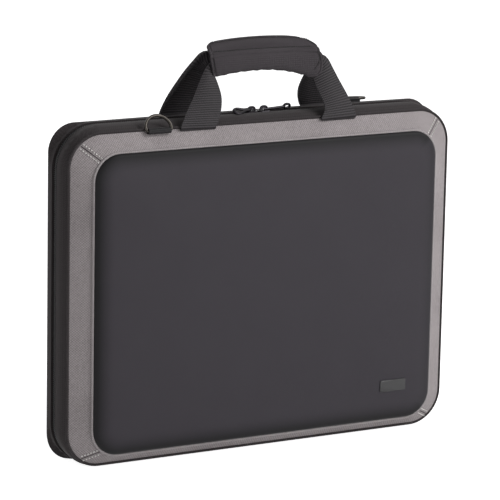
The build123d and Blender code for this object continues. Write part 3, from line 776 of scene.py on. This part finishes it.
def ribbed_webbing(name, dark, light, along, across):
    """Webbing whose ribs cross it, by the distances along and across that the caller gives."""
    material, tree, shader = new_material(
        name, dark, Roughness=0.62, Sheen_Weight=0.05, Sheen_Roughness=0.4,
        Specular_IOR_Level=0.2,
    )
    length, width = along(tree), across(tree)
    waves = []
    for distance, pitch in ((length, rib_pitch), (width, rib_pitch * 0.75)):
        angle = add_node(
            tree, "ShaderNodeMath", {"operation": "MULTIPLY", 1: math.tau / (pitch * MM)},
            at0=distance,
        )
        wave = add_node(tree, "ShaderNodeMath", {"operation": "SINE"}, at0=angle.outputs[0])
        waves.append(
            add_node(
                tree, "ShaderNodeMapRange", {"From Min": -1.0, "From Max": 1.0},
                Value=wave.outputs[0],
            ).outputs["Result"]
        )
    rib = add_node(
        tree, "ShaderNodeMix", {"data_type": "FLOAT", 0: 0.2}, at2=waves[0], at3=waves[1]
    )
    place = add_node(tree, "ShaderNodeTexCoord").outputs["Object"]
    yarn = add_node(tree, "ShaderNodeTexNoise", {"Scale": 700.0, "Detail": 3.0}, Vector=place)
    wear = add_node(tree, "ShaderNodeTexNoise", {"Scale": 40.0, "Detail": 3.0}, Vector=place)
    tone = add_node(
        tree, "ShaderNodeMix", {"data_type": "FLOAT", 0: 0.3},
        at2=rib.outputs[0], at3=yarn.outputs["Fac"],
    )
    tone = add_node(
        tree, "ShaderNodeMix", {"data_type": "FLOAT", 0: 0.15},
        at2=tone.outputs[0], at3=wear.outputs["Fac"],
    )
    # The ribs' height sets the colour: painted shade in the hollows between ribs, painted light on
    # their crowns, with the yarn's random tone and wear mixed in
    ramp = add_node(
        tree, "ShaderNodeMapRange", {"From Min": 0.25, "From Max": 0.75}, Value=tone.outputs[0]
    )
    colour = add_node(
        tree, "ShaderNodeMix", {"data_type": "RGBA", 6: linear(dark), 7: linear(light)},
        at0=ramp.outputs["Result"],
    )
    tree.links.new(colour.outputs[2], shader.inputs["Base Color"])
    bump = add_node(
        tree, "ShaderNodeBump", {"Strength": 1.0, "Distance": 0.6 * MM}, Height=tone.outputs[0]
    )
    tree.links.new(bump.outputs["Normal"], shader.inputs["Normal"])
    return material


def from_uv(axis):
    """A distance read from the piece's own UV map, which is laid out in metres."""
    def read(tree):
        uv = add_node(tree, "ShaderNodeUVMap", {"uv_map": "length_and_width"})
        return add_node(tree, "ShaderNodeSeparateXYZ", Vector=uv.outputs[0]).outputs[axis]
    return read


def from_place(x, y, z):
    """A distance read along one direction of the object's own coordinates."""
    def read(tree):
        place = add_node(tree, "ShaderNodeTexCoord").outputs["Object"]
        return add_node(
            tree, "ShaderNodeVectorMath", {"operation": "DOT_PRODUCT", 1: (x, y, z)}, at0=place
        ).outputs["Value"]
    return read


def smooth_path(keys, steps):
    """Points on a Catmull-Rom curve through the keys, each key a list of numbers."""
    found = []
    for i in range(len(keys) - 1):
        a, b, c, d = (keys[max(0, min(len(keys) - 1, i + k))] for k in (-1, 0, 1, 2))
        for step in range(steps):
            t = step / steps
            found.append([
                0.5 * (2 * q + (r - p) * t + (2 * p - 5 * q + 4 * r - s) * t * t
                       + (3 * q - p - 3 * r + s) * t * t * t)
                for p, q, r, s in zip(a, b, c, d)
            ])
    return found + [list(keys[-1])]


def slab(name, rows, walls):
    """A closed sheet round a grid of points in millimetres, with its wall at each, and its UVs."""
    count, width = len(rows), len(rows[0])
    grid = [[Vector(p) for p in row] for row in rows]
    over, under, uv = [], [], []
    gone = 0.0
    for i, row in enumerate(grid):
        before, after = grid[max(i - 1, 0)], grid[min(i + 1, count - 1)]
        if i:
            gone += (row[width // 2] - grid[i - 1][width // 2]).length
        across = 0.0
        for j, point in enumerate(row):
            along = after[j] - before[j]
            aside = row[min(j + 1, width - 1)] - row[max(j - 1, 0)]
            normal = aside.cross(along).normalized()
            if j:
                across += (point - row[j - 1]).length
            over.append((point + normal * walls[i][j] / 2) * MM)
            under.append((point - normal * walls[i][j] / 2) * MM)
            uv.append((across * MM, gone * MM))
    size = count * width
    faces = []
    for i in range(count - 1):
        for j in range(width - 1):
            a, b = i * width + j, (i + 1) * width + j
            faces.append((a, a + 1, b + 1, b))
            faces.append((size + a, size + b, size + b + 1, size + a + 1))
        for a, b in ((i * width, (i + 1) * width),):
            faces.append((a, b, size + b, size + a))
            a, b = a + width - 1, b + width - 1
            faces.append((b, a, size + a, size + b))
    for j in range(width - 1):
        faces.append((j + 1, j, size + j, size + j + 1))
        a = (count - 1) * width + j
        faces.append((a, a + 1, size + a + 1, size + a))
    mesh = bpy.data.meshes.new(name)
    mesh.from_pydata(over + under, [], faces)
    layer = mesh.uv_layers.new(name="length_and_width")
    for loop in mesh.loops:
        layer.data[loop.index].uv = uv[loop.vertex_index % size]
    piece = bpy.data.objects.new(name, mesh)
    scene.collection.objects.link(piece)
    alone(piece)
    bpy.ops.object.mode_set(mode="EDIT")
    bpy.ops.mesh.select_all(action="SELECT")
    bpy.ops.mesh.normals_make_consistent(inside=False)
    bpy.ops.object.mode_set(mode="OBJECT")
    bpy.ops.object.shade_smooth_by_angle(angle=math.radians(50))
    return piece


def strap(name, stations, wall_at, folds=None, cross=13, steps=7):
    """A strap through stations of (one edge, other edge, curl); the curl bows it across.

    `folds` gives each station's place of a sharp lengthwise fold, or 0 where it bows smoothly.
    """
    folds = folds or [0] * len(stations)
    keys = [
        [*one, *other, curl, wall, fold]
        for (one, other, curl), wall, fold in zip(stations, wall_at, folds)
    ]
    rows, walls = [], []
    path = smooth_path(keys, steps)
    for i, key in enumerate(path):
        one, other, curl = Vector(key[0:3]), Vector(key[3:6]), key[6]
        before, after = path[max(i - 1, 0)], path[min(i + 1, len(path) - 1)]
        along = Vector(after[0:3]) + Vector(after[3:6]) - Vector(before[0:3]) - Vector(before[3:6])
        normal = (other - one).cross(along).normalized()
        row = []
        for j in range(cross):
            share = j / (cross - 1)
            bend = 1 - (2 * share - 1) ** 2
            if key[8] > 0.05:
                bend = min(share / key[8], (1 - share) / (1 - key[8]))
            row.append(one.lerp(other, share) + normal * curl * bend)
        rows.append(row)
        walls.append([key[7]] * cross)
    return slab(name, rows, walls)


webbing = ribbed_webbing("ribbed_nylon_webbing", "#0b0a0b", "#3a3639", from_uv(1), from_uv(0))
front_stations = [
    ((-94.6, -27.4, 327.6), (-56.6, -27.4, 327.2), 0),
    ((-94.9, -28.9, 331.0), (-56.6, -28.9, 329.6), 0),
    ((-90.0, -26.4, 339.0), (-51.8, -26.4, 338.0), 0.8),
    ((-84.2, -23.2, 347.4), (-48.3, -23.2, 346.8), 1.6),
    ((-77.2, -19.8, 357.0), (-46.7, -19.6, 356.4), 2.2),
    ((-71.4, -16.3, 365.6), (-47.8, -16.0, 365.4), 2.6),
    ((-63.6, -12.2, 376.8), (-51.0, -12.0, 376.2), 2.2),
    ((-57.2, -10.2, 385.6), (-51.8, -10.2, 378.6), 1.0),
    ((-47.0, -9.95, 390.6), (-45.0, -9.95, 378.2), 0),
    ((-18.0, -9.95, 393.2), (-18.0, -9.95, 380.6), 0),
    ((11.5, -9.95, 394.0), (11.5, -9.95, 381.4), 0),
    ((41.0, -9.95, 393.2), (41.0, -9.95, 380.6), 0),
    ((68.0, -9.95, 390.8), (66.0, -9.95, 378.2), 0),
    ((77.4, -9.9, 386.4), (66.4, -11.0, 373.4), 1.0),
    ((83.0, -12.6, 376.2), (62.2, -13.2, 367.4), 2.2),
    ((88.6, -16.8, 364.0), (63.8, -18.6, 356.4), 2.2),
    ((94.2, -20.8, 352.4), (67.0, -22.8, 346.4), 1.6),
    ((99.0, -25.2, 340.6), (67.6, -26.2, 337.6), 0.8),
    ((101.6, -28.9, 331.0), (62.6, -28.9, 329.6), 0),
    ((101.6, -27.4, 327.6), (63.6, -27.4, 327.2), 0),
]
run_wall = 4.5
front_walls = [2.0] * 6 + [2.6, 3.6] + [run_wall] * 5 + [3.6, 2.6] + [2.0] * 5
front_handle = strap("front_handle_webbing", front_stations, front_walls)
fit(front_handle, webbing, "front_handle", "webbing", "front_webbing")

rear_stations = [
    ((-94.9, 17.3, 336.3), (-56.6, 17.3, 336.3), 0),
    ((-92.4, 13.8, 345.6), (-53.6, 13.8, 345.6), -3.5),
    ((-88.6, 9.6, 356.2), (-52.0, 9.6, 356.2), -7.5),
    ((-82.6, 5.0, 368.2), (-51.6, 5.0, 367.4), -10.0),
    ((-76.0, 1.2, 379.4), (-51.8, 1.0, 376.6), -9.0),
    ((-67.0, -1.4, 390.2), (-52.4, -1.2, 381.4), -5.5),
    ((-58.8, -2.0, 397.6), (-51.6, -1.95, 383.6), -1.5),
    ((-48.0, -1.95, 399.2), (-46.0, -1.95, 384.6), 0),
    ((-18.0, -1.95, 398.2), (-18.0, -1.95, 385.0), 0),
    ((11.5, -1.95, 398.4), (11.5, -1.95, 385.2), 0),
    ((41.0, -1.95, 397.6), (41.0, -1.95, 384.6), 0),
    ((68.0, -1.95, 394.4), (66.0, -1.95, 381.8), 0),
    ((77.0, -1.4, 389.6), (65.4, -0.6, 376.4), -1.0),
    ((82.6, 2.0, 380.2), (62.2, 3.6, 369.6), -2.0),
    ((88.0, 6.0, 368.4), (59.6, 7.2, 361.9), -2.0),
    ((93.0, 10.0, 357.6), (58.4, 10.8, 353.4), -1.5),
    ((98.0, 13.6, 346.4), (59.9, 14.0, 344.4), -1.0),
    ((101.6, 17.3, 336.3), (63.6, 17.3, 336.3), 0),
]
rear_folds = [0.06, 0.16, 0.28, 0.4, 0.46, 0.5, 0.5] + [0.5] * 11
rear_walls = [2.0] * 5 + [2.6, 3.6] + [run_wall] * 5 + [3.6, 2.6] + [2.0] * 4
rear_handle = strap("rear_handle_webbing", rear_stations, rear_walls, rear_folds)
fit(rear_handle, webbing, "rear_handle", "webbing", "rear_webbing")

upright_webbing = ribbed_webbing(
    "ribbed_nylon_ends", "#0b0a0b", "#3a3639", from_place(0, 0.6, 0.8), from_place(1, 0, 0)
)
for node, body in (
    ("front_handle_anchors", "front_half"), ("rear_handle_anchors", "rear_half"),
):
    fit(copy_of(node + "_webbing", node, 30), upright_webbing, body, "webbing", node)

# ---------------------------------------------------------------- padded grip
# A sheet of thin foam in woven cloth is sewn round both handles: its front and underside
# make one open sleeve, and a flap closes over the top with hook tape. A hem is stitched
# round its edge and a crease along its front top.

grip_cloth = woven_cloth("padded_grip_cloth", "#2f2b2e", "#454144", 1.0, 0.2, 0.85, 0.06)
flap_way = Vector((0, 0.7832, 0.6217))
flap_normal = Vector((0, -0.6217, 0.7832))
hem_width = 2.6
from_edge = (0, 0.7, 1.4, 2.0, 2.6, 3.2, 3.9, 5.0)


def crease_height(x):
    """Height of the grip's front top crease."""
    return 397.6 - 1.6 * ((x - 2) / 64) ** 2


def hem_height(x):
    """Height of the grip's arched lower edge, which puckers a little along its stitches."""
    fall = 8.9 * (x / 54.8) ** 2 if x > 0 else 3.7 * (x / 52.4) ** 2
    return 379.6 - fall + 0.3 * math.sin(0.52 * x) + 0.22 * math.sin(0.87 * x + 1)


def flap_length(x):
    """Length of the flap from the crease to its bowed tip."""
    return 20.2 - 0.0010 * (x - 4) ** 2


def across(left, right, middle=36):
    """Places from edge to edge, close together at both hems."""
    start, end = left + from_edge[-1], right - from_edge[-1]
    return (
        [left + d for d in from_edge]
        + [start + (end - start) * k / middle for k in range(1, middle)]
        + [right - d for d in reversed(from_edge)]
    )


def hemmed(wall, *distances):
    """The wall at a point: squeezed flat along the hem's stitches, plump elsewhere."""
    squeeze_and_painted_shade = max(math.exp(-(((d - hem_width) / 0.55) ** 2)) for d in distances)
    return wall * (1 - 0.6 * squeeze_and_painted_shade)


def sleeve_rows():
    """Rows of the sleeve: the lip under the flap, the front wall and the underside."""
    rows, walls = [], []

    def add_row(left, right, place, wall):
        xs = across(left, right)
        rows.append([place(x) for x in xs])
        walls.append([hemmed(wall, x - left, right - x) for x in xs])

    for along in (17.0, 13.0, 9.0, 5.0, 1.5):
        share = along / 20.5
        add_row(
            -54.5 + 6.5 * share**2, 62.6 - 28 * (1 - math.sqrt(1 - share**2.6)),
            lambda x: Vector((x, -15.5, crease_height(x) + 0.6)) + flap_way * along
            - flap_normal * 4.4,
            1.2,
        )
    for share in (0.04, 0.1, 0.18, 0.28, 0.4, 0.5, 0.6, 0.7, 0.79, 0.87, 0.93, 0.97, 1.0):
        low = max(0.0, share - 0.5) / 0.5
        high = max(0.0, 0.5 - share) / 0.5
        right = 70.6 - 4.6 * high**2 - 15.0 * (1 - math.sqrt(1 - low**2.4))
        add_row(
            -57.0 + 4.3 * share, right,
            lambda x: Vector((
                x, -13.9 - 0.7 * math.sin(math.pi * share) + 0.9 * low**4,
                crease_height(x) - (crease_height(x) - hem_height(x)) * share,
            )),
            2.8,
        )
    for y, lift in ((-11.5, 0.7), (-8.5, 1.1), (-5.0, 1.2), (-1.5, 1.2)):
        add_row(-52.0, 54.6, lambda x: Vector((x, y, hem_height(x) + lift)), 2.2)
    return rows, walls


def flap_rows():
    """Rows of the flap: over the crease, then back to its tip, widely rounded on the right."""
    rows, walls = [], []
    for forward, drop, wall in ((0.15, 2.4, 0.6), (0.05, 1.3, 1.4)):
        xs = across(-56.8, 66.2)
        rows.append([Vector((x, -15.6 - forward, crease_height(x) - drop)) for x in xs])
        walls.append([hemmed(wall, x + 56.8, 66.2 - x) for x in xs])
    for left_over in (20.5, 19.0, 17.6, 16.8, 14.5, 12, 9.5, 7) + tuple(reversed(from_edge)):
        share = 1 - left_over / 20.5
        left = -56.6 + 1.6 * share + 6.5 * max(0.0, (share - 0.72) / 0.28) ** 2.5
        right = 66.2 - 27 * (1 - math.sqrt(1 - share**2.6))
        xs = across(left, right)
        rows.append([
            Vector((x, -15.5, crease_height(x) + 0.6)) + flap_way * flap_length(x) * share
            - flap_normal * 1.1
            for x in xs
        ])
        walls.append([hemmed(2.4, x - left, right - x, left_over, left_over - 14.2) for x in xs])
    return rows, walls


def padded(name, rows, walls, swell, cap):
    """A padded sheet: its edges rounded, then blown up a little by a cloth simulation."""
    piece = slab(name, rows, walls)
    rim = piece.modifiers.new("rounded_rim", "BEVEL")
    rim.limit_method = "ANGLE"
    rim.angle_limit = math.radians(60)
    rim.width = 0.3 * MM
    rim.segments = 2
    bpy.ops.object.modifier_apply(modifier=rim.name)
    rest = [v.co.copy() for v in piece.data.vertices]
    cloth = piece.modifiers.new("padding", "CLOTH")
    cloth.settings.quality = 4
    cloth.settings.use_pressure = True
    cloth.settings.uniform_pressure_force = swell
    cloth.settings.effector_weights.gravity = 0
    for step in range(1, 21):
        scene.frame_set(step)
    blown = piece.evaluated_get(bpy.context.evaluated_depsgraph_get()).data
    moved = [v.co.copy() for v in blown.vertices]
    piece.modifiers.remove(cloth)
    scene.frame_set(1)
    for vertex, start, end in zip(piece.data.vertices, rest, moved):
        step = end - start
        if step.length > cap * MM:
            step *= cap * MM / step.length
        vertex.co = start + step
    finer = piece.modifiers.new("finer", "SUBSURF")
    finer.levels = finer.render_levels = 1
    bpy.ops.object.modifier_apply(modifier=finer.name)
    bpy.ops.object.shade_smooth()
    return piece


grip = padded("padded_grip_sleeve", *sleeve_rows(), 4.0, 0.4)
fit(grip, grip_cloth, "front_handle", "grip_fabric", "grip_wrap")
grip_top = padded("padded_grip_flap", *flap_rows(), 4.0, 0.3)
fit(grip_top, grip_cloth, "flap", "grip_fabric", "grip_flap")

grip_thread, _, _ = new_material("black_polyester_thread", "#0a0a0a", Roughness=0.55)
grip_stitch = thread_stitch(1.9, 0.45)


def stitched(name, piece, path, pitch=2.5):
    """Stitches laid on a padded piece along a path that runs just over it."""
    places = []
    for point, way in run_of(path, pitch):
        _, found, normal, _ = piece.closest_point_on_mesh(point * MM)
        places.append((found / MM + normal * 0.25, way, normal))
    return sewn(name, grip_stitch, places)


top_path = [Vector((x, -15.5, crease_height(x) + 0.6)) + flap_way * 3.5 + flap_normal
            for x in range(-52, 62, 3)]
tip_path = [
    Vector((x, -15.5, crease_height(x) + 0.6)) + flap_normal
    + flap_way * min(flap_length(x) - hem_width, 20.5 * (1 - ((x - 36) / 26) ** 2) ** 0.385
                     if x > 36 else 99)
    for x in list(range(-51, 52, 3)) + [54, 56, 58, 59.5, 60.5, 61.2]
]
front_right = [Vector((61.5 + 4.8 * math.sin(math.pi * min(1, k / 9)), -16.5, 396 - 2.0 * k))
               for k in range(11)]
front_left = [Vector((-54.2 + 0.17 * k, -16.5, 396 - k)) for k in range(0, 20, 2)]
fit(stitched("flap_stitches", grip_top, top_path), grip_thread, "flap", "grip_fabric")
fit(stitched("flap_hem_stitches", grip_top, tip_path), grip_thread, "flap", "grip_fabric")
fit(stitched("sleeve_right_stitches", grip, front_right), grip_thread, "front_handle",
    "grip_fabric")
fit(stitched("sleeve_left_stitches", grip, front_left), grip_thread, "front_handle",
    "grip_fabric")

hooks, hooks_tree, hooks_shader = new_material("hook_tape", "#151515", Roughness=0.7)
hook_rows = add_node(
    hooks_tree, "ShaderNodeTexVoronoi", {"Scale": 800.0},
    Vector=add_node(hooks_tree, "ShaderNodeTexCoord").outputs["Object"],
)
hook_bump = add_node(
    hooks_tree, "ShaderNodeBump", {"Strength": 0.8, "Distance": 0.5 * MM},
    Height=hook_rows.outputs["Distance"],
)
hooks_tree.links.new(hook_bump.outputs["Normal"], hooks_shader.inputs["Normal"])
loops = woven_cloth("loop_tape", "#161617", "#262627", 0.6, 0.9, 0.95, 0.3)
tape_walls = [[0.6] * 25] * 3


def tape_rows(depth):
    """A narrow strip under the flap near its tip, `depth` below the line of the crease."""
    return [
        [
            Vector((x, -15.5, crease_height(x) + 0.6)) + flap_way * (flap_length(x) - back)
            - flap_normal * depth
            for x in [-47 + 3.6 * k for k in range(25)]
        ]
        for back in (8.0, 5.5, 3.2)
    ]


fit(slab("grip_hooks", tape_rows(2.7), tape_walls), hooks, "flap", "hook_tape",
    "grip_hook_strip")
fit(slab("grip_loops", tape_rows(3.4), tape_walls), loops, "front_handle", "loop_tape",
    "grip_loop_strip")

# ---------------------------------------------------------------- shoulder-strap rings
# Two D-rings of round wire with a black nickel plate, each in a webbing tab: one at the
# front seam on the left, one behind the zip on the right.

ring_half = 13.7
ring_rise = 15.6
ring_wire = 1.55
nickel, nickel_tree, nickel_shader = new_material(
    "black_nickel_plate", "#3a3734", Metallic=1.0, Roughness=0.2
)
plate = add_node(
    nickel_tree, "ShaderNodeTexNoise", {"Scale": 500.0, "Detail": 2.0},
    Vector=add_node(nickel_tree, "ShaderNodeTexCoord").outputs["Object"],
)
plate_rough = add_node(
    nickel_tree, "ShaderNodeMapRange", {"To Min": 0.14, "To Max": 0.32}, Value=plate.outputs["Fac"]
)
nickel_tree.links.new(plate_rough.outputs["Result"], nickel_shader.inputs["Roughness"])


def d_ring(name, centre, lean):
    """A D-ring: its bar lies along X through `centre`, its bow leans back from upright."""
    radius = (ring_half**2 + (ring_rise * 2 / 3) ** 2) / (2 * ring_rise * 2 / 3)
    sweep = math.asin(ring_half / radius)
    shape = [(-ring_half, ring_rise / 3), (-ring_half, 2.0), (-ring_half + 0.6, 0.6),
             (-ring_half + 2.0, 0), (ring_half - 2.0, 0), (ring_half - 0.6, 0.6),
             (ring_half, 2.0), (ring_half, ring_rise / 3)]
    for k in range(1, 16):
        turn = sweep * (1 - 2 * k / 16)
        shape.append((radius * math.sin(turn), ring_rise - radius * (1 - math.cos(turn))))
    back, rise = math.sin(math.radians(lean)), math.cos(math.radians(lean))
    curve = bpy.data.curves.new(name, "CURVE")
    curve.dimensions = "3D"
    line = curve.splines.new("POLY")
    line.points.add(len(shape) - 1)
    for point, (x, up) in zip(line.points, shape):
        place = Vector(centre) + Vector((x, up * back, up * rise))
        point.co = (*(place * MM), 1)
    line.use_cyclic_u = True
    curve.bevel_depth = ring_wire * MM
    curve.bevel_resolution = 4
    piece = bpy.data.objects.new(name, curve)
    scene.collection.objects.link(piece)
    alone(piece)
    bpy.ops.object.convert(target="MESH")
    bpy.ops.object.shade_smooth()
    return piece


fit(d_ring("left_d_ring", (-118.8, -28.98, 328.96), 28), nickel, "ring_left", "ring_steel",
    "dring_left")
fit(d_ring("right_d_ring", (128.3, 19.06, 337.99), 96), nickel, "ring_right", "ring_steel",
    "dring_right")

# Each tab is a doubled end of smooth black tape, looped round the ring's bar
tab_tape = ribbed_webbing(
    "smooth_nylon_tape", "#080708", "#1b191b", from_place(0, 0.6, 0.8), from_place(1, 0, 0)
)
for node, body, middle_x, shift, share in (
    ("dring_tab_left", "front_half", -116.3, -2.8, 1.0),
    ("dring_tab_right", "rear_half", 123.3, 1.5, 0.7),
):
    tab = copy_of(node + "_tape", node, 30)
    for vertex in tab.data.vertices:
        vertex.co.x = (middle_x + shift) * MM + (vertex.co.x - middle_x * MM) * share
        if node == "dring_tab_left":
            vertex.co.y -= 0.6 * MM
        elif vertex.co.z > 337.99 * MM:
            vertex.co.z -= (vertex.co.z - 337.99 * MM) * 0.3
    fit(tab, tab_tape, body, "webbing", node)
